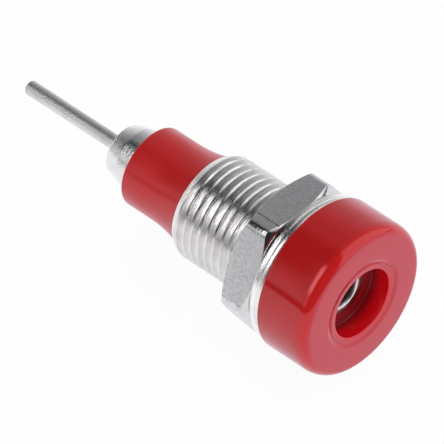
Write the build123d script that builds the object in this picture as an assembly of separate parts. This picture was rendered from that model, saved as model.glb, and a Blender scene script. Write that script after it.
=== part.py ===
from build123d import *
import math
import os

# Miniature insulated panel socket for a 2 mm plug. Every size is in millimetres.
# The socket's axis is Y: the mouth faces -Y, the solder pin points to +Y, and Z is up.
# The origin lies on the axis, in the rear face of the bush's flange, where a panel bears.
# A station is a distance along Y, and grows from the mouth to the tip of the solder pin.

# Insulator, one moulding: head, shank through the bush, flare behind the bush and tail.
# The head's front edge is rounded by a quarter ellipse, longer along the axis than across it.
# The mouth is a straight counterbore inside a wide, shallow rim.
head_overhang = 0.15
head_length = 3.27
head_round_length = 0.75
head_round_depth = 0.5
head_rear_radius = 0.1
mouth_diameter = 3.94
mouth_depth = 1.24
mouth_corner_radius = 0.3
rim_width = 0.33
rim_depth = 0.06
throat_diameter = 2.54
throat_length = 0.15
shank_diameter = 4.8
flare_step = 0.25
flare_length = 2.41
tail_diameter = 4.52
tail_length = 4.09
tail_edge_radius = 0.15

# Threaded bush: M6 x 0.5 with a flange, drawn as the plain cylinder over its thread crests
bush_wall = 0.59
crest_flat_allowance = 0.025
bush_length = 7.05
bush_lead_length = 0.55
bush_lead_depth = 0.225
flange_margin = 0.2
flange_thickness = 0.35
flange_edge_break = 0.05

# Washer, as wide as the flange
washer_thickness = 0.3
washer_edge_break = 0.05

# Hexagon nut, 8 mm across flats, chamfered on both faces
nut_wall = 1.0
nut_thickness = 2.0
nut_face_inset = 0.075
nut_chamfer_angle = 32.0
nut_corner_radius = 0.5
nut_countersink_depth = 0.175
nut_clocking = 3.3

# Contact, turned in one piece: barrel with the plug bore, rear cone and solder pin
barrel_diameter = 3.25
barrel_protrusion = 0.96
cone_length = 0.91
cone_end_diameter = 2.72
plug_bore_diameter = 2.0
plug_bore_depth = 10.5
plug_entry_radius = 0.2
drill_point_angle = 118.0
solder_pin_diameter = 0.8
solder_pin_length = 6.74
solder_pin_tip_radius = 0.15

# Radial clearances between pieces that pass through each other
shank_clearance = 0.01
barrel_clearance = 0.01
nut_clearance = 0.05
washer_clearance = 0.1

# Diameters that follow, from the shank outwards to the head
flare_diameter = shank_diameter + 2 * flare_step
thread_diameter = shank_diameter + 2 * (shank_clearance + bush_wall)
nut_across_flats = thread_diameter + 2 * nut_wall
nut_face_diameter = nut_across_flats - 2 * nut_face_inset
flange_diameter = nut_across_flats + 2 * flange_margin
washer_diameter = flange_diameter
head_diameter = flange_diameter + 2 * head_overhang

# Radii that follow from the sizes above
crest_radius = thread_diameter / 2 - crest_flat_allowance
bush_bore_radius = shank_diameter / 2 + shank_clearance
nut_bore_radius = crest_radius + nut_clearance
washer_hole_radius = crest_radius + washer_clearance
barrel_hole_radius = barrel_diameter / 2 + barrel_clearance

# Stations that follow from the sizes above, from the mouth to the pin's tip
flange_front = -flange_thickness
head_front = flange_front - head_length
mouth_end = head_front + mouth_depth
contact_front = mouth_end + throat_length
nut_front = washer_thickness
nut_rear = nut_front + nut_thickness
tail_rear = bush_length + tail_length
cone_front = tail_rear + barrel_protrusion
cone_rear = cone_front + cone_length
pin_tip = cone_rear + solder_pin_length


def turned(outline):
    """Turn an outline about the socket's axis. Its X is the radius and its Y the station."""
    return revolve(outline, Axis.Y, 360)


def rounded(outline, radius_at, station, size):
    """Round the outline's corner that lies nearest to a radius and a station."""
    corner = outline.vertices().sort_by_distance((radius_at, station, 0))[0]
    return fillet(corner, size)


def bevelled(outline, radius_at, station, size):
    """Bevel the outline's corner that lies nearest to a radius and a station."""
    corner = outline.vertices().sort_by_distance((radius_at, station, 0))[0]
    return chamfer(corner, size)


def make_insulator():
    """Moulding with a rimmed mouth, a throat lip over the contact, and a flare that locks the bush."""
    flare_end = bush_length + flare_length
    mouth = Polyline(
        (throat_diameter / 2, mouth_end),
        (mouth_diameter / 2, mouth_end),
        (mouth_diameter / 2, head_front + rim_depth),
        (mouth_diameter / 2 + rim_width, head_front),
        (head_diameter / 2 - head_round_depth, head_front),
    )
    head_round = EllipticalCenterArc(
        (head_diameter / 2 - head_round_depth, head_front + head_round_length),
        head_round_depth,
        head_round_length,
        start_angle=270,
        arc_size=90,
    )
    side = Polyline(
        (head_diameter / 2, head_front + head_round_length),
        (head_diameter / 2, flange_front),
        (shank_diameter / 2, flange_front),
        (shank_diameter / 2, bush_length),
        (flare_diameter / 2, bush_length),
    )
    flare = TangentArc(
        (tail_diameter / 2, flare_end),
        (flare_diameter / 2, bush_length),
        tangent=(0, -1),
    )
    rear = Polyline(
        (tail_diameter / 2, flare_end),
        (tail_diameter / 2, tail_rear),
        (barrel_hole_radius, tail_rear),
        (barrel_hole_radius, contact_front),
        (throat_diameter / 2, contact_front),
        (throat_diameter / 2, mouth_end),
    )
    outline = make_face([mouth, head_round, side, flare, rear])
    outline = rounded(outline, mouth_diameter / 2, mouth_end, mouth_corner_radius)
    outline = rounded(outline, head_diameter / 2, flange_front, head_rear_radius)
    outline = rounded(outline, tail_diameter / 2, tail_rear, tail_edge_radius)
    return turned(outline)


def make_threaded_bush():
    """Flanged bush round the insulator's shank, with a long lead at its rear end."""
    outline = make_face(
        Polyline(
            (bush_bore_radius, flange_front),
            (flange_diameter / 2, flange_front),
            (flange_diameter / 2, 0),
            (crest_radius, 0),
            (crest_radius, bush_length - bush_lead_length),
            (crest_radius - bush_lead_depth, bush_length),
            (bush_bore_radius, bush_length),
            close=True,
        )
    )
    outline = bevelled(outline, flange_diameter / 2, 0, flange_edge_break)
    return turned(outline)


def make_washer():
    """Flat ring between the flange, or the panel, and the nut."""
    outline = make_face(
        Polyline(
            (washer_hole_radius, 0),
            (washer_diameter / 2, 0),
            (washer_diameter / 2, washer_thickness),
            (washer_hole_radius, washer_thickness),
            close=True,
        )
    )
    outline = bevelled(outline, washer_diameter / 2, 0, washer_edge_break)
    outline = bevelled(outline, washer_diameter / 2, washer_thickness, washer_edge_break)
    return turned(outline)


def nut_envelope():
    """Drum with both ends coned, whose cut across the hexagon leaves the curved chamfers."""
    corner_radius = nut_across_flats / 2 / math.cos(math.pi / 6)
    drop = (corner_radius - nut_face_diameter / 2) * math.tan(math.radians(nut_chamfer_angle))
    return turned(
        make_face(
            Polyline(
                (0, nut_front),
                (nut_face_diameter / 2, nut_front),
                (corner_radius, nut_front + drop),
                (corner_radius, nut_rear - drop),
                (nut_face_diameter / 2, nut_rear),
                (0, nut_rear),
                close=True,
            )
        )
    )


def nut_hole():
    """Hole over the thread crests, countersunk at both faces."""
    countersink_radius = nut_bore_radius + nut_countersink_depth
    return turned(
        make_face(
            Polyline(
                (0, nut_front),
                (countersink_radius, nut_front),
                (nut_bore_radius, nut_front + nut_countersink_depth),
                (nut_bore_radius, nut_rear - nut_countersink_depth),
                (countersink_radius, nut_rear),
                (0, nut_rear),
                close=True,
            )
        )
    )


def make_hex_nut():
    """Hexagon nut with rolled corners. Its clocking is the angle of one corner from +X towards +Z."""
    hexagon = RegularPolygon(nut_across_flats / 2, 6, major_radius=False, rotation=-nut_clocking)
    hexagon = fillet(hexagon.vertices(), nut_corner_radius)
    prism = Pos(0, nut_front, 0) * Rot(X=-90) * extrude(hexagon, nut_thickness)
    return (prism & nut_envelope()) - nut_hole()


def make_contact():
    """Barrel with the plug bore at its front, and the coned end and solder pin at its rear."""
    bore_radius = plug_bore_diameter / 2
    bore_end = contact_front + plug_bore_depth
    drill_point = bore_end + bore_radius / math.tan(math.radians(drill_point_angle / 2))
    outline = make_face(
        Polyline(
            (bore_radius, contact_front),
            (barrel_diameter / 2, contact_front),
            (barrel_diameter / 2, cone_front),
            (cone_end_diameter / 2, cone_rear),
            (solder_pin_diameter / 2, cone_rear),
            (solder_pin_diameter / 2, pin_tip),
            (0, pin_tip),
            (0, drill_point),
            (bore_radius, bore_end),
            close=True,
        )
    )
    outline = rounded(outline, bore_radius, contact_front, plug_entry_radius)
    outline = rounded(outline, solder_pin_diameter / 2, pin_tip, solder_pin_tip_radius)
    return turned(outline)


parts = {
    "insulator": make_insulator(),
    "threaded_bush": make_threaded_bush(),
    "washer": make_washer(),
    "hex_nut": make_hex_nut(),
    "contact": make_contact(),
}

os.makedirs("parts", exist_ok=True)
for node, solid in parts.items():
    export_step(solid, f"parts/{node}.step")
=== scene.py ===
"""Looks of a miniature insulated panel socket for a 2 mm plug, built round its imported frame.

The socket's axis is Y: the mouth faces -Y, the solder pin points to +Y, and Z is up.
Sizes are in millimetres, and a piece is brought to metres when its mesh is made.
A station is a distance along Y. A section is a list of points (radius, station) in a plane
through the axis.
"""

import logging
import math
from dataclasses import dataclass, field
from enum import Enum
from functools import lru_cache
from typing import Callable

import bmesh
import bpy
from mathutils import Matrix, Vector


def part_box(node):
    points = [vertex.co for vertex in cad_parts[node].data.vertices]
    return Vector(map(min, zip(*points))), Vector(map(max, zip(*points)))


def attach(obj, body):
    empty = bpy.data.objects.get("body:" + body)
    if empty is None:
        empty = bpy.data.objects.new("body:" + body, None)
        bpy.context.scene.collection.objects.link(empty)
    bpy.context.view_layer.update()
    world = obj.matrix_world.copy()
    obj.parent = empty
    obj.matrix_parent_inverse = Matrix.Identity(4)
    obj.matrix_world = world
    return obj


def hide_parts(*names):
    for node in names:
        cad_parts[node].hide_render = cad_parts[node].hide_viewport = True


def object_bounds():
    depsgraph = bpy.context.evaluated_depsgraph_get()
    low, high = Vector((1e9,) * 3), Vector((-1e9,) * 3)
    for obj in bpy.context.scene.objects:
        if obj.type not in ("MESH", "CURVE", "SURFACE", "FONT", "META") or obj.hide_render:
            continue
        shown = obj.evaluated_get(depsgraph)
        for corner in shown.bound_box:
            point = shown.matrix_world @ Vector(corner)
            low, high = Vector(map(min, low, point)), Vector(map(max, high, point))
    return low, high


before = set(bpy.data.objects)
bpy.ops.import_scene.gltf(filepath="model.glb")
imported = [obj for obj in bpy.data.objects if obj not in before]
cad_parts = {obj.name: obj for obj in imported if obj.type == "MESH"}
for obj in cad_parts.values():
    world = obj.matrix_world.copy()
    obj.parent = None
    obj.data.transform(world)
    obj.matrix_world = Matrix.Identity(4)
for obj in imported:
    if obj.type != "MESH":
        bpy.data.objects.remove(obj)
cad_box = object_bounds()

MM = 0.001
MERGE_DISTANCE = 1e-5
FULL_TURN = 2 * math.pi
SIXTH_TURN = FULL_TURN / 6
WHITE = (1.0, 1.0, 1.0)

Point = tuple[float, float]
Span = tuple[float, float]
Place = tuple[float, float, float]
Section = list[Point]
Colour = tuple[float, float, float]
Values = dict[str | int, object]

log = logging.getLogger("socket")


class Plating(Enum):
    """How a plated surface was left by its bath."""

    BRIGHT = "bright"
    MOTTLED = "mottled"
    GRANULAR = "granular"


# Shader maths


class Signal:
    """A socket's value, on which Python's operators write Math nodes."""

    def __init__(self, sheet: "Sheet", socket: bpy.types.NodeSocket) -> None:
        """Hold the sheet that the socket is on, and the socket."""
        self.sheet = sheet
        self.socket = socket

    def other(self, output: str | int) -> "Signal":
        """Another output of the same node."""
        return Signal(self.sheet, self.socket.node.outputs[output])

    def math(self, operation: str, *values: object) -> "Signal":
        """Write one Math node, with its inputs in order."""
        inputs = dict(enumerate(values))
        return self.sheet.node("ShaderNodeMath", {"operation": operation}, inputs)

    def __add__(self, other: object) -> "Signal":
        """Sum."""
        return self.math("ADD", self, other)

    def __radd__(self, other: object) -> "Signal":
        """Sum, with a number on the left."""
        return self.math("ADD", other, self)

    def __sub__(self, other: object) -> "Signal":
        """Difference."""
        return self.math("SUBTRACT", self, other)

    def __rsub__(self, other: object) -> "Signal":
        """Difference, with a number on the left."""
        return self.math("SUBTRACT", other, self)

    def __mul__(self, other: object) -> "Signal":
        """Product."""
        return self.math("MULTIPLY", self, other)

    def __rmul__(self, other: object) -> "Signal":
        """Product, with a number on the left."""
        return self.math("MULTIPLY", other, self)

    def __abs__(self) -> "Signal":
        """Size without its sign."""
        return self.math("ABSOLUTE", self)

    def at_least(self, other: object) -> "Signal":
        """The larger of two values."""
        return self.math("MAXIMUM", self, other)

    def root(self) -> "Signal":
        """Square root."""
        return self.math("SQRT", self)

    def rise(self, low: float, high: float, start: float = 0.0, end: float = 1.0) -> "Signal":
        """Ease from one value to another as this value goes from low to high.

        Args:
            low: the value at which the change begins.
            high: the value at which it is complete.
            start: the result below low.
            end: the result above high.

        Returns:
            The eased value.
        """
        settings = {"interpolation_type": "SMOOTHSTEP", "clamp": True}
        inputs = {"Value": self, "From Min": low, "From Max": high, "To Min": start, "To Max": end}
        return self.sheet.node("ShaderNodeMapRange", settings, inputs)

    def fall(self, low: float, high: float) -> "Signal":
        """Ease from 1 down to 0 as this value goes from low to high."""
        return self.rise(low, high, 1.0, 0.0)


class Sheet:
    """A node tree that is written from Python expressions."""

    def __init__(self, tree: bpy.types.NodeTree) -> None:
        """Take over a tree and empty it."""
        self.tree = tree
        tree.nodes.clear()

    def node(
        self,
        kind: str,
        settings: dict[str, object] | None = None,
        values: Values | None = None,
        output: str | int = 0,
    ) -> Signal:
        """Add one node of any type.

        Args:
            kind: the node's type.
            settings: its own settings, which are set first.
            values: the numbers, colours or signals of its inputs, by name or place.
            output: the name or place of the output that is wanted.

        Returns:
            The wanted output.
        """
        made = self.tree.nodes.new(kind)
        for name, value in (settings or {}).items():
            setattr(made, name, value)
        for name, value in (values or {}).items():
            self.feed(made.inputs[name], value)
        return Signal(self, made.outputs[output] if made.outputs else None)

    def feed(self, socket: bpy.types.NodeSocket, value: object) -> None:
        """Link a signal to an input, or set the input's own value.

        Args:
            socket: the input.
            value: a signal, a number, or a colour or vector.
        """
        if isinstance(value, Signal):
            self.tree.links.new(value.socket, socket)
        elif isinstance(value, (int, float)) and not hasattr(socket.default_value, "__len__"):
            socket.default_value = value
        else:
            given = tuple(value)
            socket.default_value = given + (1.0,) * (len(socket.default_value) - len(given))

    def colour_mix(self, factor: object, first: object, second: object) -> Signal:
        """Mix two colours: factor 0 gives the first and 1 the second."""
        inputs = {"Factor": factor, 6: first, 7: second}
        return self.node("ShaderNodeMix", {"data_type": "RGBA"}, inputs, 2)

    def place(self) -> Signal:
        """The point on the surface, in millimetres."""
        inputs = {0: self.node("ShaderNodeTexCoord", None, None, "Object"), "Scale": 1 / MM}
        return self.node("ShaderNodeVectorMath", {"operation": "SCALE"}, inputs)

    def facing(self) -> Signal:
        """The direction that the surface faces."""
        return self.node("ShaderNodeTexCoord", None, None, "Normal")

    def split(self, vector: Signal) -> tuple[Signal, Signal, Signal]:
        """A vector's three parts."""
        first = self.node("ShaderNodeSeparateXYZ", None, {0: vector})
        return first, first.other(1), first.other(2)

    def radius(self, where: Signal) -> Signal:
        """How far a point lies from the socket's axis."""
        x, _, z = self.split(where)
        return (x * x + z * z).root()

    def along(self, vector: Signal) -> Signal:
        """A vector's part along the socket's axis, which for a point is its station."""
        return self.split(vector)[1]

    def dot(self, vector: Signal, direction: Place) -> Signal:
        """How far a vector points in a direction."""
        settings = {"operation": "DOT_PRODUCT"}
        return self.node("ShaderNodeVectorMath", settings, {0: vector, 1: direction}, "Value")

    def distance(self, where: Signal, point: Place) -> Signal:
        """How far a point on the surface lies from a fixed one."""
        settings = {"operation": "DISTANCE"}
        return self.node("ShaderNodeVectorMath", settings, {0: where, 1: point}, "Value")

    def stretched(self, vector: Signal, scale: Place) -> Signal:
        """A vector with each part multiplied."""
        return self.node("ShaderNodeVectorMath", {"operation": "MULTIPLY"}, {0: vector, 1: scale})

    def noise(self, where: Signal, size: float, detail: float = 2.0, rough: float = 0.5) -> Signal:
        """Soft random variation.

        Args:
            where: the point, in millimetres.
            size: how wide one patch is, in millimetres.
            detail: how many finer layers are added.
            rough: how strong the finer layers are.

        Returns:
            A value about 0.5.
        """
        inputs = {"Vector": where, "Scale": 1 / size, "Detail": detail, "Roughness": rough}
        return self.node("ShaderNodeTexNoise", {"noise_dimensions": "3D"}, inputs, "Fac")

    def grains(self, where: Signal, size: float, blur: float) -> Signal:
        """Distance to the nearest grain's middle.

        Args:
            where: the point, in millimetres.
            size: how wide one grain is, in millimetres.
            blur: how far neighbouring grains melt together, from 0 to 1.

        Returns:
            0 at a grain's middle, larger towards its edge.
        """
        inputs = {"Vector": where, "Scale": 1 / size, "Smoothness": blur}
        return self.node("ShaderNodeTexVoronoi", {"feature": "SMOOTH_F1"}, inputs, "Distance")

    def relief(self, height: Signal, depth: float, below: Signal | None = None) -> Signal:
        """Turn a height into a bumped normal.

        Args:
            height: the height, where 1 is full depth.
            depth: the full depth in millimetres.
            below: a relief that this one lies on.

        Returns:
            The normal.
        """
        inputs = {"Strength": 1.0, "Distance": depth * MM, "Height": height}
        if below is not None:
            inputs["Normal"] = below
        return self.node("ShaderNodeBump", None, inputs)


Mask = Callable[[Sheet, Signal], Signal]


def surface(name: str, build: Callable[[Sheet], Values]) -> bpy.types.Material:
    """Make a material from one Principled shader.

    Args:
        name: the material's name.
        build: writes the sheet's nodes, and returns the shader's inputs.

    Returns:
        The material.
    """
    material = bpy.data.materials.new(name)
    material.use_nodes = True
    sheet = Sheet(material.node_tree)
    shader = sheet.node("ShaderNodeBsdfPrincipled", None, build(sheet))
    sheet.node("ShaderNodeOutputMaterial", None, {"Surface": shader})
    return material


# Finishes


@dataclass(frozen=True)
class RedMoulding:
    """Glossy red moulded plastic with faint flow marks, and a few marks of handling.

    The plastic lets some light through, so the tail, thin over the metal, is a lighter red. The
    face carries a painted pink sheen, the rounded edge painted light, the mouth's wall a painted
    deep red glow, and its depth painted shade, darkest at the floor. A span is a pair of stations,
    and wall_radii a pair of radii, over which one colour gives way to another. A core is the
    share of a mark's radius that is marked in full.
    """

    name: str = "red_moulding"
    colour: Colour = (0.470, 0.0102, 0.0106)
    deep_colour: Colour = (0.430, 0.0088, 0.0094)
    tail_colour: Colour = (0.515, 0.0120, 0.0116)
    tail_span: Span = (6.5, 7.5)
    # Painted light: the head's rounded edge is made a lighter red.
    round_painted_light: Colour = (0.525, 0.0100, 0.0104)
    round_span: Span = (-3.2, -2.85)
    # Painted sheen: the face's pink tinge stands in for the reflection of the pale floor.
    face_painted_sheen: Colour = (0.465, 0.0210, 0.0360)
    face_span: Span = (-3.6, -3.5)
    # Painted glow: the mouth's wall is a brighter red than the plastic.
    wall_painted_glow: Colour = (0.680, 0.0040, 0.0085)
    wall_radii: Span = (1.99, 2.05)
    # Painted shade deep in the mouth, darkest at its floor.
    shade_colour: Colour = (0.120, 0.0025, 0.0050)
    shade_span: Span = (-3.1, -2.38)
    shade_share: float = 0.85
    shade_haze: float = 0.2
    roughness: float = 0.11
    tail_roughness: float = 0.24
    index: float = 1.857
    gloss_tint: Colour = (1.0, 0.42, 0.44)
    flow_size: float = 1.6
    flow_detail: float = 3.0
    flow_blend: Span = (0.35, 0.65)
    flow_share: float = 0.7
    haze_blend: Span = (0.4, 0.7)
    flow_haze: float = 0.03
    fine_size: float = 0.12
    wave_depth: float = 0.0012
    nick: Place = (-1.914, -3.62, -1.295)
    nick_radius: float = 0.09
    nick_core: float = 0.4
    specks: tuple[tuple[Place, float], ...] = (
        ((-1.872, -3.62, -2.278), 0.11),
        ((-2.198, -3.62, -2.845), 0.05),
    )
    speck_core: float = 0.3
    speck_breaks: Span = (0.42, 0.58)
    mark_colour: Colour = (0.20, 0.004, 0.006)
    mark_share: float = 0.6
    mark_haze: float = 0.15
    mark_depth: float = 0.02

    def marks(self, sheet: Sheet, where: Signal, fine: Signal) -> Signal:
        """The nick at the mouth and the specks on the head's face.

        Args:
            sheet: the sheet to write on.
            where: the point, in millimetres.
            fine: fine noise, which breaks up the specks.

        Returns:
            1 in a mark, 0 elsewhere.
        """
        core = self.nick_radius * self.nick_core
        marks = sheet.distance(where, self.nick).fall(core, self.nick_radius)
        for middle, radius in self.specks:
            spot = sheet.distance(where, middle).fall(radius * self.speck_core, radius)
            marks = marks.at_least(spot * fine.rise(*self.speck_breaks))
        return marks

    def inside(self, sheet: Sheet, where: Signal) -> Signal:
        """Whether a point lies in the head and near the axis, and so inside the mouth."""
        in_head = sheet.along(where).fall(0.0, 1.0)
        return sheet.radius(where).fall(*self.wall_radii) * in_head

    def inputs(self, sheet: Sheet) -> Values:
        """Write the nodes.

        Args:
            sheet: the sheet to write on.

        Returns:
            The shader's inputs.
        """
        where = sheet.place()
        station = sheet.along(where)
        flow = sheet.noise(where, self.flow_size, self.flow_detail)
        fine = sheet.noise(where, self.fine_size)
        marks = self.marks(sheet, where, fine)
        tail = station.rise(*self.tail_span)
        inside = self.inside(sheet, where)
        shade = inside * station.rise(*self.shade_span)
        colour = sheet.colour_mix(flow.rise(*self.flow_blend), self.colour, self.deep_colour)
        colour = sheet.colour_mix(tail, colour, self.tail_colour)
        # Painted light on the head's rounded edge.
        colour = sheet.colour_mix(station.fall(*self.round_span), colour, self.round_painted_light)
        # Painted sheen on the face.
        colour = sheet.colour_mix(station.fall(*self.face_span), colour, self.face_painted_sheen)
        # Painted glow on the mouth's wall.
        colour = sheet.colour_mix(inside, colour, self.wall_painted_glow)
        # Painted shade deep in the mouth.
        colour = sheet.colour_mix(shade * self.shade_share, colour, self.shade_colour)
        colour = sheet.colour_mix(marks * self.mark_share, colour, self.mark_colour)
        rough = self.roughness + tail * (self.tail_roughness - self.roughness)
        rough = rough + flow.rise(*self.haze_blend, 0.0, self.flow_haze)
        height = flow * self.flow_share + fine * (1 - self.flow_share)
        waves = sheet.relief(height, self.wave_depth)
        return {
            "Base Color": colour,
            "Roughness": rough + marks * self.mark_haze + shade * self.shade_haze,
            "IOR": self.index,
            "Specular Tint": self.gloss_tint,
            "Normal": sheet.relief(1 - marks, self.mark_depth, waves),
        }

    def material(self) -> bpy.types.Material:
        """The finish as a material."""
        return surface(self.name, self.inputs)


@dataclass(frozen=True)
class Plate:
    """A plated metal: its colour, and the relief that its bath and its tools left.

    It lies in bright and dull patches. A mask may name where dirt or rubbing dulls it, and in
    the contact's bore where shade is painted dark; where it is worn to another roughness, and
    where a turning tool left it smooth. Tool rings are drawn only where tool_depth is above 0.
    The mottling's size is relief_size times mottle_share, and so is that of its spots.
    """

    name: str
    colour: Colour
    dull_colour: Colour
    roughness: float
    relief_size: float
    relief_depth: float
    plating: Plating = Plating.BRIGHT
    tool_pitch: float = 0.04
    tool_depth: float = 0.0
    tool_stretch: Place = (0.02, 1.0, 0.02)
    grain_blur: float = 0.35
    cell_blur: float = 0.8
    mottle_share: float = 1.3
    patch_size: float = 0.9
    patch_detail: float = 3.0
    patch_blend: Span = (0.35, 0.7)
    patch_haze: Span = (-0.02, 0.05)
    spot_colour: Colour = (0.52, 0.52, 0.50)
    spot_detail: float = 2.5
    spot_blend: Span = (0.45, 0.62)
    spot_share: float = 0.35
    # Darkening mask: dirt and rubbing on most parts, painted shade in the contact's bore.
    dirt_and_shade: Mask | None = None
    dirt_and_shade_colour: Colour = (0.10, 0.095, 0.09)
    dirt_and_shade_haze: float = 0.2
    worn: Mask | None = None
    worn_roughness: float = 0.06
    turned: Callable[[Sheet], Signal] | None = None
    turned_relief: float = 0.1
    least_roughness: float = 0.03

    def height(self, sheet: Sheet, where: Signal) -> Signal:
        """The relief of the plating itself.

        Args:
            sheet: the sheet to write on.
            where: the point, in millimetres.

        Returns:
            The height, from about 0 to 1.
        """
        if self.plating is Plating.GRANULAR:
            grains = sheet.grains(where, self.relief_size, self.grain_blur)
            return grains * 0.8 + sheet.noise(where, self.relief_size / 2) * 0.5
        if self.plating is Plating.MOTTLED:
            cells = sheet.grains(where, self.relief_size, self.cell_blur)
            size = self.relief_size * self.mottle_share
            return cells * 0.6 + sheet.noise(where, size, 3.0, 0.6) * 0.8
        return sheet.noise(where, self.relief_size)

    def inputs(self, sheet: Sheet) -> Values:
        """Write the nodes.

        Args:
            sheet: the sheet to write on.

        Returns:
            The shader's inputs.
        """
        where = sheet.place()
        patches = sheet.noise(where, self.patch_size, self.patch_detail)
        dull = patches.rise(*self.patch_blend)
        colour = sheet.colour_mix(dull, self.colour, self.dull_colour)
        rough = self.roughness + patches.rise(*self.patch_blend, *self.patch_haze)
        height = self.height(sheet, where)
        if self.plating is Plating.MOTTLED:
            size = self.relief_size * self.mottle_share
            spots = sheet.noise(where, size, self.spot_detail).rise(*self.spot_blend)
            colour = sheet.colour_mix(spots * self.spot_share, colour, self.spot_colour)
        if self.worn is not None:
            rough = rough + self.worn(sheet, where) * (self.worn_roughness - self.roughness)
        if self.turned is not None:
            turned = self.turned(sheet)
            rough = rough + turned * (self.worn_roughness - rough)
            height = height * (1 - turned * (1 - self.turned_relief))
        # Dirt, and painted shade where the mask paints it, as in the contact's bore.
        if self.dirt_and_shade is not None:
            dirt_and_shade_mask = self.dirt_and_shade(sheet, where)
            colour = sheet.colour_mix(dirt_and_shade_mask, colour, self.dirt_and_shade_colour)
            rough = rough + dirt_and_shade_mask * self.dirt_and_shade_haze
        normal = sheet.relief(height, self.relief_depth)
        if self.tool_depth:
            rings = sheet.noise(sheet.stretched(where, self.tool_stretch), self.tool_pitch)
            normal = sheet.relief(rings, self.tool_depth, normal)
        return {
            "Base Color": colour,
            "Metallic": 1.0,
            "Roughness": rough.at_least(self.least_roughness),
            "Normal": normal,
        }

    def material(self) -> bpy.types.Material:
        """The finish as a material."""
        return surface(self.name, self.inputs)


# Meshes


def arc_corner(before: Point, corner: Point, after: Point, radius: float, steps: int) -> Section:
    """Round one corner of a section.

    Args:
        before: the point before the corner.
        corner: the corner.
        after: the point after it.
        radius: the rounding's radius.
        steps: how many facets the arc has.

    Returns:
        The points of the arc, from the side of the point before.
    """
    here = Vector(corner)
    back = (Vector(before) - here).normalized()
    ahead = (Vector(after) - here).normalized()
    half = back.angle(ahead) / 2
    reach = radius / math.tan(half)
    centre = here + (back + ahead).normalized() * (radius / math.sin(half))
    start = here + back * reach - centre
    end = here + ahead * reach - centre
    sweep = math.atan2(start.x * end.y - start.y * end.x, start.dot(end))
    points = []
    for step in range(steps + 1):
        turn = sweep * step / steps
        x = centre.x + start.x * math.cos(turn) - start.y * math.sin(turn)
        y = centre.y + start.x * math.sin(turn) + start.y * math.cos(turn)
        points.append((x, y))
    return points


def rounded_section(corners: list[Place], steps: int) -> Section:
    """Build a section from corners that each have a rounding radius.

    Args:
        corners: (radius, station, rounding) of each corner; the first and last stay sharp.
        steps: how many facets each arc has.

    Returns:
        The section.
    """
    points: Section = [corners[0][:2]]
    for before, corner, after in zip(corners, corners[1:], corners[2:]):
        if corner[2] > 0:
            points += arc_corner(before[:2], corner[:2], after[:2], corner[2], steps)
        else:
            points.append(corner[:2])
    points.append(corners[-1][:2])
    return points


def even_angles(count: int) -> list[float]:
    """Angles spread evenly over a full turn."""
    return [FULL_TURN * k / count for k in range(count)]


def at(angle: float, radius: float, station: float) -> Vector:
    """The point at a radius and a station. The angle goes from +Z towards +X."""
    return Vector((radius * math.sin(angle), station, radius * math.cos(angle)))


def turn_section(
    mesh: bmesh.types.BMesh, angles: list[float], section: Callable[[float], Section]
) -> None:
    """Sweep a section round the axis.

    Args:
        mesh: the mesh that gets the faces.
        angles: the angles of the columns, over one full turn.
        section: gives the section at an angle; each has as many points.
    """
    columns = [[mesh.verts.new(at(a, r, y)) for r, y in section(a)] for a in angles]
    for here, there in zip(columns, columns[1:] + columns[:1]):
        for k in range(len(here) - 1):
            mesh.faces.new((here[k], here[k + 1], there[k + 1], there[k]))


@dataclass(frozen=True)
class ThreadForm:
    """A fine right-hand thread about the axis, with wide crests and rounded grooves.

    A phase is how far a point lies from the middle of the nearest crest, in pitches. The crest
    is flat over crest_share of a pitch to each side, falls towards the mouth by a lean in
    degrees, and is crowned. The datum is the station of one crest's middle at angle 0.
    """

    pitch: float = 0.5
    crest_radius: float = 2.975
    depth: float = 0.115
    crest_share: float = 0.29
    crest_lean: float = 5.0
    crown: float = 0.018
    datum: float = 7.01
    half_samples: tuple[float, ...] = (0.10, 0.20, 0.29, 0.32, 0.35, 0.38, 0.41, 0.44, 0.47)

    @property
    def samples(self) -> list[float]:
        """The phases of one pitch's rows, from one root to just short of the next."""
        before = [-share for share in reversed(self.half_samples)]
        return [-0.5, *before, 0.0, *self.half_samples]

    def phase(self, angle: float, station: float) -> float:
        """The phase of a point at an angle and a station."""
        turns = (station - self.datum) / self.pitch - angle / FULL_TURN
        return turns - math.floor(turns + 0.5)

    def groove(self, phase: float) -> float:
        """How much of the groove's full depth it has at a phase, from 0 to 1."""
        share = (abs(phase) - self.crest_share) / (0.5 - self.crest_share)
        return (1 - math.cos(math.pi * max(share, 0.0))) / 2

    def crest_drop(self, phase: float) -> float:
        """How far the crest has fallen at a phase.

        Args:
            phase: the phase, of which only what lies on the crest counts.

        Returns:
            The drop by the lean and the crown.
        """
        ahead = self.crest_share - max(min(phase, self.crest_share), -self.crest_share)
        lean = ahead * self.pitch * math.tan(math.radians(self.crest_lean))
        return lean + self.crown * (ahead / (2 * self.crest_share)) ** 2

    def radius(self, angle: float, station: float) -> float:
        """The thread's surface.

        Args:
            angle: the angle round the axis.
            station: the place along it.

        Returns:
            The radius there.
        """
        phase = self.phase(angle, station)
        drop = self.crest_drop(phase)
        return self.crest_radius - drop - (self.depth - drop) * self.groove(phase)


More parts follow.
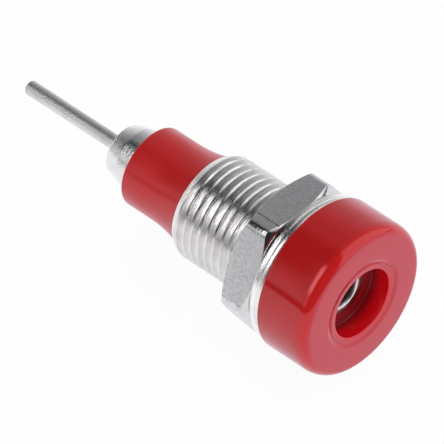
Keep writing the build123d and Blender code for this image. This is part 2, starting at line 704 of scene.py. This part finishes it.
def cut_thread(
    mesh: bmesh.types.BMesh,
    angles: list[float],
    thread: ThreadForm,
    span: Span,
    radius: Callable[[float, float], float],
) -> None:
    """Build a threaded wall whose edges run along the helix and end square at both stations.

    Args:
        mesh: the mesh that gets the faces.
        angles: the angles of the columns, over one full turn from 0.
        thread: the thread.
        span: the first and last station.
        radius: gives the wall's radius at an angle and a station.
    """
    low, high = span
    first = math.floor((low - thread.datum) / thread.pitch) - 2
    last = math.ceil((high - thread.datum) / thread.pitch) + 1
    rows = [turn + share for turn in range(first, last + 1) for share in thread.samples]
    columns = []
    for angle in angles + [FULL_TURN]:
        column = []
        for row in rows:
            station = thread.datum + (row + angle / FULL_TURN) * thread.pitch
            station = min(max(station, low), high)
            column.append(mesh.verts.new(at(angle, radius(angle, station), station)))
        columns.append(column)
    for here, there in zip(columns, columns[1:]):
        for k in range(len(rows) - 1):
            mesh.faces.new((here[k], here[k + 1], there[k + 1], there[k]))


def finish_piece(
    mesh: bmesh.types.BMesh,
    name: str,
    node: str,
    body: str,
    finish: RedMoulding | Plate,
    sharp_above: float = 35.0,
) -> bpy.types.Object:
    """Close a mesh, make it a piece of the socket, and let it stand for its node.

    Args:
        mesh: the mesh, in millimetres; it is freed.
        name: the piece's name.
        node: the node of the frame that it stands for.
        body: the body that carries it.
        finish: its finish, whose name is the record's material slot.
        sharp_above: the angle in degrees above which an edge is shaded sharp.

    Returns:
        The piece.
    """
    bmesh.ops.remove_doubles(mesh, verts=mesh.verts, dist=MERGE_DISTANCE)
    bmesh.ops.recalc_face_normals(mesh, faces=mesh.faces)
    bmesh.ops.scale(mesh, vec=(MM, MM, MM), verts=mesh.verts)
    data = bpy.data.meshes.new(name)
    mesh.to_mesh(data)
    mesh.free()
    data.shade_smooth()
    data.set_sharp_from_angle(angle=math.radians(sharp_above))
    data.materials.append(finish.material())
    piece = bpy.data.objects.new(name, data)
    bpy.context.scene.collection.objects.link(piece)
    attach(piece, body)
    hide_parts(node)
    return piece


@lru_cache(maxsize=None)
def node_box(node: str) -> tuple[Vector, Vector]:
    """A frame node's lowest and highest corners, in millimetres."""
    low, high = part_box(node)
    return low / MM, high / MM


# Sub-assemblies


@dataclass
class Insulator:
    """The red moulding: head with a rimmed mouth, shank, flare behind the bush, and tail.

    From the mouth's wall outwards, the face has a low lip, then a shallow dip that runs out to
    the plain face at dip_radius.
    """

    mouth_radius: float = 1.97
    mouth_depth: float = 1.24
    mouth_corner: float = 0.05
    rim_depth: float = 0.06
    rim_edge: float = 0.05
    lip_radius: float = 2.30
    lip_depth: float = 0.030
    lip_edge: float = 0.03
    dip_step: float = 0.05
    dip_depth: float = 0.085
    dip_edge: float = 0.02
    dip_radius: float = 2.56
    dip_end_edge: float = 0.04
    plain_face: float = 0.2
    round_length: float = 0.75
    round_depth: float = 0.5
    round_steps: int = 16
    rear_radius: float = 0.1
    throat_radius: float = 1.27
    throat_length: float = 0.15
    barrel_hole_radius: float = 1.635
    barrel_hole_edge: float = 0.03
    shank_radius: float = 2.4
    flange_front: float = -0.35
    bush_end: float = 7.05
    flare_radius: float = 2.65
    flare_length: float = 2.41
    flare_steps: int = 12
    tail_radius: float = 2.26
    tail_edge: float = 0.15
    arc_steps: int = 8
    columns: int = 256
    finish: RedMoulding = field(default_factory=RedMoulding)

    def mouth(self, front: float) -> Section:
        """The mouth from the throat's lip out to the face, with its floor, wall and rim.

        Args:
            front: the station of the head's face.

        Returns:
            The curve.
        """
        floor = front + self.mouth_depth
        return rounded_section(
            [
                (self.throat_radius, floor, 0),
                (self.mouth_radius, floor, self.mouth_corner),
                (self.mouth_radius, front + self.rim_depth, self.rim_edge),
                (self.lip_radius, front + self.lip_depth, self.lip_edge),
                (self.lip_radius + self.dip_step, front + self.dip_depth, self.dip_edge),
                (self.dip_radius, front, self.dip_end_edge),
                (self.dip_radius + self.plain_face, front, 0),
            ],
            self.arc_steps,
        )

    def head_round(self, head: float, front: float) -> Section:
        """The quarter ellipse round the head's front edge.

        Args:
            head: the head's radius.
            front: the station of its face.

        Returns:
            The curve from the face to the head's side.
        """
        points = []
        for step in range(self.round_steps + 1):
            turn = FULL_TURN / 4 * step / self.round_steps
            radius = head - self.round_depth * (1 - math.sin(turn))
            points.append((radius, front + self.round_length * (1 - math.cos(turn))))
        return points

    def flare(self) -> Section:
        """The arc behind the bush, tangent to the plain tail where it runs out.

        Returns:
            The curve from the bush's end to the plain tail.
        """
        spread = self.flare_radius - self.tail_radius
        radius = (spread**2 + self.flare_length**2) / (2 * spread)
        points = []
        for step in range(self.flare_steps + 1):
            left = self.flare_length * (1 - step / self.flare_steps)
            rise = radius - math.sqrt(radius**2 - left**2)
            points.append((self.tail_radius + rise, self.bush_end + self.flare_length - left))
        return points

    def section(self) -> Section:
        """The whole moulding.

        Returns:
            The closed section, from the throat out over the head and back inside.
        """
        low, high = node_box("insulator")
        head, front, rear = high.x, low.y, high.y
        floor = front + self.mouth_depth
        inner_end = floor + self.throat_length
        side = rounded_section(
            [
                (head, front + self.round_length, 0),
                (head, self.flange_front, self.rear_radius),
                (self.shank_radius, self.flange_front, 0),
                (self.shank_radius, self.bush_end, 0),
                (self.flare_radius, self.bush_end, 0),
            ],
            self.arc_steps,
        )
        inside = rounded_section(
            [
                self.flare()[-1] + (0,),
                (self.tail_radius, rear, self.tail_edge),
                (self.barrel_hole_radius, rear, self.barrel_hole_edge),
                (self.barrel_hole_radius, inner_end, 0),
                (self.throat_radius, inner_end, 0),
                (self.throat_radius, floor, 0),
            ],
            self.arc_steps,
        )
        outside = self.mouth(front) + self.head_round(head, front) + side[1:-1]
        return outside + self.flare() + inside[1:]

    def build(self) -> bpy.types.Object:
        """Turn the moulding and dress it.

        Returns:
            The piece.
        """
        section = self.section()
        mesh = bmesh.new()
        turn_section(mesh, even_angles(self.columns), lambda angle: section)
        return finish_piece(mesh, "red_insulator", "insulator", "socket", self.finish)


@dataclass
class ThreadedBush:
    """The plated bush with its thread cut, a flange, and a long lead at its rear end.

    The thread fades in over run_out from the flange, and out over the lead, of which the last
    plain_lead is plain. The flange is smaller in front by its lean.
    """

    thread: ThreadForm = field(default_factory=ThreadForm)
    bore_radius: float = 2.41
    flange_edge: float = 0.08
    flange_front_edge: float = 0.18
    flange_lean: float = 0.03
    end: float = 7.05
    lead_length: float = 0.44
    lead_depth: float = 0.225
    plain_lead: float = 0.3
    run_out: float = 0.3
    crest_dulling: float = 0.30
    crest_fade: float = 0.05
    lead_dulling: float = 0.5
    lead_fade: float = 0.1
    patch_size: float = 0.5
    patch_blend: Span = (0.3, 0.7)
    patch_range: Span = (0.85, 1.15)
    arc_steps: int = 5
    columns: int = 192

    def thread_radius(self, angle: float, station: float) -> float:
        """The thread, as it fades in and out.

        Args:
            angle: the angle round the axis.
            station: the place along it.

        Returns:
            The radius there.
        """
        crest = self.thread.crest_radius
        left = self.end - station
        lead = crest - self.lead_depth * max(0.0, 1 - left / self.lead_length)
        fading_out = (left - self.plain_lead) / (self.lead_length - self.plain_lead)
        share = min(max(min(station / self.run_out, fading_out), 0.0), 1.0)
        return min(lead, crest - share * (crest - self.thread.radius(angle, station)))

    def section(self, angle: float) -> Section:
        """Everything but the threaded wall.

        Args:
            angle: the angle round the axis.

        Returns:
            The section, from the thread's foot at the flange round to the thread's end.
        """
        low, high = node_box("threaded_bush")
        rim, front, rear = high.x, low.y, high.y
        plain = rounded_section(
            [
                (self.thread.crest_radius, 0, 0),
                (rim, 0, self.flange_edge),
                (rim - self.flange_lean, front, self.flange_front_edge),
                (self.bore_radius, front, 0),
                (self.bore_radius, rear, 0),
            ],
            self.arc_steps,
        )
        return plain + [(self.thread_radius(angle, rear), rear)]

    def rubbed(self, sheet: Sheet, where: Signal) -> Signal:
        """The thread's dulling, which fades into its grooves, where nothing has rubbed.

        Args:
            sheet: the sheet to write on.
            where: the point, in millimetres.

        Returns:
            0 where the plating is clean.
        """
        crest = self.thread.crest_radius
        cut = self.end - self.lead_length
        radius = sheet.radius(where)
        crests = radius.rise(crest - self.thread.depth, crest) * self.crest_dulling
        patches = sheet.noise(where, self.patch_size, 3.0)
        patches = patches.rise(*self.patch_blend, *self.patch_range)
        off_flange = radius.fall(crest, crest + self.crest_fade)
        lead = sheet.along(where).rise(cut - self.lead_fade, cut, 1.0, self.lead_dulling)
        return crests * patches * off_flange * lead

    def build(self) -> bpy.types.Object:
        """Cut the bush and dress it.

        Returns:
            The piece.
        """
        angles = even_angles(self.columns)
        rear = node_box("threaded_bush")[1].y
        mesh = bmesh.new()
        cut_thread(mesh, angles, self.thread, (0.0, rear), self.thread_radius)
        turn_section(mesh, angles, self.section)
        finish = Plate(
            name="bush_plating",
            colour=(0.870, 0.850, 0.790),
            dull_colour=(0.800, 0.780, 0.725),
            roughness=0.18,
            relief_size=0.25,
            relief_depth=0.0025,
            tool_depth=0.016,
            dirt_and_shade=self.rubbed,
        )
        return finish_piece(mesh, "cut_bush", "threaded_bush", "socket", finish, 50.0)


@dataclass
class Washer:
    """The plain washer between the flange and the nut.

    It is smaller in front by its lean, and ends short of the nut by its play.
    """

    hole_radius: float = 3.075
    edge: float = 0.05
    lean: float = 0.045
    play: float = 0.003
    arc_steps: int = 5
    columns: int = 192

    def section(self) -> Section:
        """The washer's closed section.

        Returns:
            The section, from the front of the hole round to it again.
        """
        low, high = node_box("washer")
        rear = high.y - self.play
        return rounded_section(
            [
                (self.hole_radius, low.y, 0),
                (high.x - self.lean, low.y, self.edge),
                (high.x, rear, self.edge),
                (self.hole_radius, rear, 0),
                (self.hole_radius, low.y, 0),
            ],
            self.arc_steps,
        )

    def build(self) -> bpy.types.Object:
        """Turn the washer and dress it.

        Returns:
            The piece.
        """
        section = self.section()
        mesh = bmesh.new()
        turn_section(mesh, even_angles(self.columns), lambda angle: section)
        finish = Plate(
            name="washer_plating",
            colour=(0.930, 0.910, 0.850),
            dull_colour=(0.860, 0.840, 0.785),
            roughness=0.14,
            relief_size=0.3,
            relief_depth=0.002,
            tool_depth=0.016,
        )
        return finish_piece(mesh, "flat_washer", "washer", "washer", finish)


@dataclass
class HexNut:
    """The hexagon nut: rolled corners, coned faces, countersunk mouths and its own thread.

    The clocking is the angle of one corner from +X towards +Z. The hole's thread lies
    thread_gap outside the bush's.
    """

    across_flats: float = 8.0
    face_radius: float = 3.925
    chamfer_angle: float = 32.0
    clocking: float = 3.3
    corner_radius: float = 0.5
    corner_steps: int = 5
    flat_steps: int = 26
    edge_radius: float = 0.05
    arc_steps: int = 4
    countersink_radius: float = 3.2
    thread_gap: float = 0.035
    smallest_hole: float = 2.78
    scratch_offset: float = 1.553
    scratch_half_widths: Span = (0.015, 0.045)
    scratch_break_size: float = 0.15
    scratch_breaks: Span = (0.3, 0.6)
    scratch_range: Span = (0.5, 1.0)
    scratch_depths: Span = (0.05, 0.02)
    turned_slopes: Span = (0.2, 0.45)
    worn_radii: Span = (4.44, 4.48)
    worn_share: float = 0.7
    thread: ThreadForm = field(default_factory=ThreadForm)

    def corner_angle(self) -> float:
        """The angle of one corner, from +Z towards +X."""
        return math.radians(90 - self.clocking)

    def corner_centre(self) -> float:
        """How far from the axis the middle of a corner's rounding lies."""
        return (self.across_flats / 2 - self.corner_radius) / math.cos(SIXTH_TURN / 2)

    def rolled_half_angle(self) -> float:
        """The angle from a corner to where its rounding meets the flat.

        Returns:
            The angle, seen from the axis.
        """
        across = self.corner_radius * math.sin(SIXTH_TURN / 2)
        along = self.corner_centre() + self.corner_radius * math.cos(SIXTH_TURN / 2)
        return math.atan2(across, along)

    def angles(self) -> list[float]:
        """The columns' angles, close together round the rolled corners.

        Returns:
            The angles in order, over one full turn.
        """
        rolled = self.rolled_half_angle()
        steps = self.corner_steps
        corner = [rolled * k / steps for k in range(-steps, steps + 1)]
        open_angle = SIXTH_TURN - 2 * rolled
        flat = [rolled + open_angle * k / self.flat_steps for k in range(1, self.flat_steps)]
        starts = [self.corner_angle() + SIXTH_TURN * side for side in range(6)]
        return sorted((start + step) % FULL_TURN for start in starts for step in corner + flat)

    def hexagon(self, angle: float) -> float:
        """The rolled hexagon.

        Args:
            angle: the angle round the axis.

        Returns:
            The radius there.
        """
        offset = (angle - self.corner_angle() + SIXTH_TURN / 2) % SIXTH_TURN - SIXTH_TURN / 2
        if abs(offset) < self.rolled_half_angle():
            centre = self.corner_centre()
            reach = self.corner_radius**2 - (centre * math.sin(offset)) ** 2
            return centre * math.cos(offset) + math.sqrt(reach)
        return self.across_flats / 2 / math.cos(SIXTH_TURN / 2 - abs(offset))

    def section(self, angle: float) -> Section:
        """The outside of the nut.

        Args:
            angle: the angle round the axis.

        Returns:
            The section from one countersink to the other.
        """
        low, high = node_box("hex_nut")
        side = self.hexagon(angle)
        drop = (side - self.face_radius) * math.tan(math.radians(self.chamfer_angle))
        return rounded_section(
            [
                (self.countersink_radius, low.y, 0),
                (self.face_radius, low.y, self.edge_radius),
                (side, low.y + drop, self.edge_radius),
                (side, high.y - drop, self.edge_radius),
                (self.face_radius, high.y, self.edge_radius),
                (self.countersink_radius, high.y, 0),
            ],
            self.arc_steps,
        )

    def hole_radius(self, angle: float, station: float) -> float:
        """The threaded hole, opened by the countersinks.

        Args:
            angle: the angle round the axis.
            station: the place along it.

        Returns:
            The radius there.
        """
        low, high = node_box("hex_nut")
        wall = max(self.thread.radius(angle, station) + self.thread_gap, self.smallest_hole)
        front = self.countersink_radius - (station - low.y)
        rear = self.countersink_radius - (high.y - station)
        return max(wall, front, rear)

    def scratch(self, sheet: Sheet, where: Signal) -> Signal:
        """The thin line along the upper flat.

        Args:
            sheet: the sheet to write on.
            where: the point, in millimetres.

        Returns:
            1 in the line, 0 elsewhere.
        """
        flat = self.across_flats / 2
        outward = tuple(at(self.corner_angle() - math.pi / 2, 1.0, 0.0))
        across = tuple(at(self.corner_angle() - math.pi, 1.0, 0.0))
        offset = abs(sheet.dot(where, across) - self.scratch_offset)
        breaks = sheet.noise(where, self.scratch_break_size)
        breaks = breaks.rise(*self.scratch_breaks, *self.scratch_range)
        low, high = (flat - depth for depth in self.scratch_depths)
        on_flat = sheet.dot(where, outward).rise(low, high)
        return offset.fall(*self.scratch_half_widths) * breaks * on_flat

    def turned(self, sheet: Sheet) -> Signal:
        """The turned faces, which are smoother than the flats."""
        return abs(sheet.along(sheet.facing())).rise(*self.turned_slopes)

    def worn(self, sheet: Sheet, where: Signal) -> Signal:
        """The rolled corners, which are worn smooth."""
        return sheet.radius(where).rise(*self.worn_radii, 0.0, self.worn_share)

    def build(self) -> bpy.types.Object:
        """Cut the nut and dress it.

        Returns:
            The piece.
        """
        low, high = node_box("hex_nut")
        angles = self.angles()
        mesh = bmesh.new()
        turn_section(mesh, angles, self.section)
        cut_thread(mesh, angles, self.thread, (low.y, high.y), self.hole_radius)
        finish = Plate(
            name="nut_plating",
            colour=(0.730, 0.728, 0.705),
            dull_colour=(0.680, 0.678, 0.658),
            roughness=0.34,
            relief_size=0.15,
            relief_depth=0.015,
            plating=Plating.MOTTLED,
            dirt_and_shade=self.scratch,
            worn=self.worn,
            turned=self.turned,
        )
        return finish_piece(mesh, "hexagon_nut", "hex_nut", "nut", finish, 50.0)


@dataclass
class Contact:
    """The turned contact: barrel with the plug bore, rear cone and solder pin.

    Over rear_span, about the tail's end, the mask for the bore gives way to that for the pin.
    The pin's mask fades out over pin_fade, in millimetres outside the pin's surface, and the
    bore's over bore_fade outside the bore's.
    """

    barrel_radius: float = 1.625
    barrel_edge: float = 0.08
    bore_radius: float = 1.0
    bore_depth: float = 10.5
    entry_radius: float = 0.2
    drill_point_angle: float = 118.0
    cone_length: float = 0.91
    cone_front_edge: float = 0.05
    cone_end_radius: float = 1.36
    cone_end_edge: float = 0.07
    pin_radius: float = 0.4
    pin_length: float = 6.74
    pin_root_radius: float = 0.08
    pin_tip_radius: float = 0.15
    rear_span: Span = (10.5, 11.5)
    pin_fade: Span = (0.02, 0.2)
    bore_fade: Span = (0.04, 0.11)
    # Share of painted shade inside the bore.
    bore_shade: float = 0.55
    pin_grime: float = 0.18
    arc_steps: int = 8
    columns: int = 128

    def section(self) -> Section:
        """The contact's section.

        Returns:
            The section, from the drill point out of the bore and back to the pin's tip.
        """
        low, high = node_box("contact")
        front, tip = low.y, high.y
        bore_end = front + self.bore_depth
        point = bore_end + self.bore_radius / math.tan(math.radians(self.drill_point_angle / 2))
        cone_rear = tip - self.pin_length
        return rounded_section(
            [
                (0.0, point, 0),
                (self.bore_radius, bore_end, 0),
                (self.bore_radius, front, self.entry_radius),
                (self.barrel_radius, front, self.barrel_edge),
                (self.barrel_radius, cone_rear - self.cone_length, self.cone_front_edge),
                (self.cone_end_radius, cone_rear, self.cone_end_edge),
                (self.pin_radius, cone_rear, self.pin_root_radius),
                (self.pin_radius, tip, self.pin_tip_radius),
                (0.0, tip, 0),
            ],
            self.arc_steps,
        )

    def on_pin(self, sheet: Sheet, where: Signal) -> Signal:
        """Whether a point lies on the solder pin, which is duller than the rest."""
        slim = sheet.radius(where).fall(*(self.pin_radius + step for step in self.pin_fade))
        return slim * sheet.along(where).rise(*self.rear_span)

    def dirt_and_shade(self, sheet: Sheet, where: Signal) -> Signal:
        """Painted shade inside the bore, and a little dirt on the pin.

        Args:
            sheet: the sheet to write on.
            where: the point, in millimetres.

        Returns:
            0 where there is neither dirt nor painted shade.
        """
        bore = sheet.radius(where).fall(*(self.bore_radius + step for step in self.bore_fade))
        bore = bore * sheet.along(where).fall(*self.rear_span)
        # Painted shade inside the bore, plus a little dirt on the pin.
        return bore * self.bore_shade + self.on_pin(sheet, where) * self.pin_grime

    def build(self) -> bpy.types.Object:
        """Turn the contact and dress it.

        Returns:
            The piece.
        """
        section = self.section()
        mesh = bmesh.new()
        turn_section(mesh, even_angles(self.columns), lambda angle: section)
        finish = Plate(
            name="contact_plating",
            colour=(0.850, 0.845, 0.805),
            dull_colour=(0.780, 0.775, 0.740),
            roughness=0.24,
            relief_size=0.09,
            relief_depth=0.007,
            plating=Plating.GRANULAR,
            tool_depth=0.004,
            dirt_and_shade=self.dirt_and_shade,
            worn=self.on_pin,
            worn_roughness=0.36,
        )
        return finish_piece(mesh, "turned_contact", "contact", "socket", finish)


# Studio


@dataclass(frozen=True)
class Card:
    """A soft panel of the studio, hung along the socket, as polished surfaces see it.

    A bearing is in degrees round the socket's axis, from straight up towards +X. The reach is
    how far a direction points along +Y, from -1 to 1. The blur is in degrees beyond the
    bearings, and the end blur lies beyond the reach.
    """

    bearings: Span
    reach: Span
    brightness: float
    blur: float
    end_blur: float = 0.1

    def lay(self, bearing: Signal, along: Signal, under: Signal | float) -> Signal:
        """Lay the card over what is already there.

        Args:
            bearing: the bearing of the ray.
            along: the ray's reach.
            under: the brightness so far.

        Returns:
            The brightness with the card.
        """
        first, last = self.bearings
        front, rear = self.reach
        mask = bearing.rise(first - self.blur, first) * bearing.fall(last, last + self.blur)
        mask = mask * along.rise(front - self.end_blur, front)
        mask = mask * along.fall(rear, rear + self.end_blur)
        return under + mask * (self.brightness - under)


# The cards, of which each is laid over those before it
FAR_WALL = Card((14.0, 200.0), (0.0, 1.0), 0.24, 18.0, 0.3)
FAR_GLOW = Card((75.0, 200.0), (0.0, 1.0), 0.60, 53.0, 0.3)
FAR_GROUND = Card((108.0, 200.0), (0.0, 1.0), 1.05, 43.0, 0.3)
NEAR_WALL = Card((-200.0, -78.0), (0.1, 1.0), 0.75, 40.0, 0.2)
NEAR_GROUND = Card((-200.0, -140.0), (0.1, 1.0), 0.85, 30.0, 0.2)
DARK_GAP = Card((-91.0, -84.0), (-0.2, 1.0), 0.05, 4.0)
LAMP_HALO = Card((-58.0, -30.0), (0.05, 0.40), 1.1, 10.0, 0.08)
LAMP = Card((-58.0, -30.0), (0.05, 0.30), 2.8, 10.0, 0.08)
FRONT_FILL = Card((6.0, 82.0), (-0.95, -0.1), 1.20, 8.0, 0.03)
REAR_LAMP = Card((-75.0, 25.0), (0.957, 1.0), 1.35, 15.0, 0.012)


@dataclass
class Studio:
    """A pale floor, soft light and the camera."""

    azimuth: float = -46.5
    elevation: float = 43.4
    aim: Place = (-1.964, 4.294, 1.874)
    lens: float = 1100.0
    sensor: float = 36.0
    frame_width: float = 22.37
    clip: Span = (0.001, 50.0)
    floor_size: float = 3.0
    floor_cells: int = 8
    floor_whiteness: float = 0.97
    shadow_kept: float = 0.05
    light: float = 0.99
    front_share: float = 0.45
    side_share: float = 0.2
    side_bearing: float = -25.0
    ceiling: float = 0.03
    horizon_blur: float = 0.02
    gloss_tint: Colour = (1.0, 1.0, 1.08)
    cards: tuple[Card, ...] = (
        FAR_WALL,
        FAR_GLOW,
        FAR_GROUND,
        NEAR_WALL,
        NEAR_GROUND,
        DARK_GAP,
        LAMP_HALO,
        LAMP,
        FRONT_FILL,
        REAR_LAMP,
    )

    def place_camera(self) -> None:
        """Set up the camera as the photographer stood."""
        across, up = math.radians(self.azimuth), math.radians(self.elevation)
        level = math.cos(up)
        back = Vector((math.sin(across) * level, -math.cos(across) * level, math.sin(up)))
        data = bpy.data.cameras.new("camera")
        data.lens = self.lens
        data.sensor_width = self.sensor
        data.clip_start, data.clip_end = self.clip
        camera = bpy.data.objects.new("camera", data)
        bpy.context.scene.collection.objects.link(camera)
        distance = self.frame_width * MM * self.lens / self.sensor
        camera.location = Vector(self.aim) * MM + back * distance
        camera.rotation_euler = back.to_track_quat("Z", "Y").to_euler()
        bpy.context.scene.camera = camera

    def floor_paper(self) -> bpy.types.Material:
        """The floor's finish: white to the camera and in reflections, but for a faint shadow.

        Returns:
            The material.
        """
        material = bpy.data.materials.new("floor_paper")
        material.use_nodes = True
        sheet = Sheet(material.node_tree)
        paper = sheet.node("ShaderNodeBsdfDiffuse", None, {"Color": (self.floor_whiteness,) * 3})
        camera = sheet.node("ShaderNodeLightPath", None, None, "Is Camera Ray")
        tint = sheet.colour_mix(camera, self.gloss_tint, WHITE)
        glow = sheet.node("ShaderNodeEmission", None, {"Color": tint, "Strength": 1.0})
        polished = camera.other("Is Glossy Ray").at_least(camera.other("Is Transmission Ray"))
        seen = camera.at_least(polished) * (1 - self.shadow_kept)
        shader = sheet.node("ShaderNodeMixShader", None, {0: seen, 1: paper, 2: glow})
        sheet.node("ShaderNodeOutputMaterial", None, {"Surface": shader})
        return material

    def lay_floor(self, height: float) -> None:
        """Lay the pale floor under the socket.

        Args:
            height: the floor's height in metres.
        """
        cells = self.floor_cells
        mesh = bmesh.new()
        bmesh.ops.create_grid(mesh, x_segments=cells, y_segments=cells, size=self.floor_size / 2)
        data = bpy.data.meshes.new("floor")
        mesh.to_mesh(data)
        mesh.free()
        data.materials.append(self.floor_paper())
        floor = bpy.data.objects.new("floor", data)
        bpy.context.scene.collection.objects.link(floor)
        floor.location.z = height

    def hang_sky(self) -> None:
        """Light the socket from all round, with soft cards for polished surfaces to show."""
        world = bpy.data.worlds.new("studio")
        world.use_nodes = True
        bpy.context.scene.world = world
        sheet = Sheet(world.node_tree)
        direction = sheet.node("ShaderNodeTexCoord", None, None, "Generated")
        across, along, height = sheet.split(direction)
        bearing = across.math("ARCTAN2", across, height) * (360 / FULL_TURN)
        shown = self.ceiling
        for card in self.cards:
            shown = card.lay(bearing, along, shown)
        shown = shown + height.fall(-self.horizon_blur, 0.0) * (1 - shown)
        side = tuple(at(math.radians(self.side_bearing), self.side_share, self.front_share))
        plain = self.light * (1 - sheet.dot(direction, side))
        camera = sheet.node("ShaderNodeLightPath", None, None, "Is Camera Ray")
        glossy = camera.other("Is Glossy Ray")
        strength = plain + glossy * (shown - plain)
        strength = strength + camera * (1 - strength)
        tint = sheet.colour_mix(glossy, WHITE, self.gloss_tint)
        glow = sheet.node("ShaderNodeBackground", None, {"Color": tint, "Strength": strength})
        sheet.node("ShaderNodeOutputWorld", None, {"Surface": glow})

    def build(self) -> None:
        """Set up the whole studio."""
        bpy.context.scene.view_settings.view_transform = "Standard"
        self.place_camera()
        self.lay_floor(cad_box[0][2])
        self.hang_sky()


def triangles(piece: bpy.types.Object) -> int:
    """How many triangles a piece has."""
    return sum(len(face.vertices) - 2 for face in piece.data.polygons)


def main() -> None:
    """Build the studio and every piece of the socket, and report each piece."""
    logging.basicConfig(level=logging.INFO, format="%(name)s: %(message)s")
    Studio().build()
    for part in (Insulator(), ThreadedBush(), Washer(), HexNut(), Contact()):
        piece = part.build()
        log.info("%s: %d triangles", piece.name, triangles(piece))


if __name__ == "__main__":
    main()
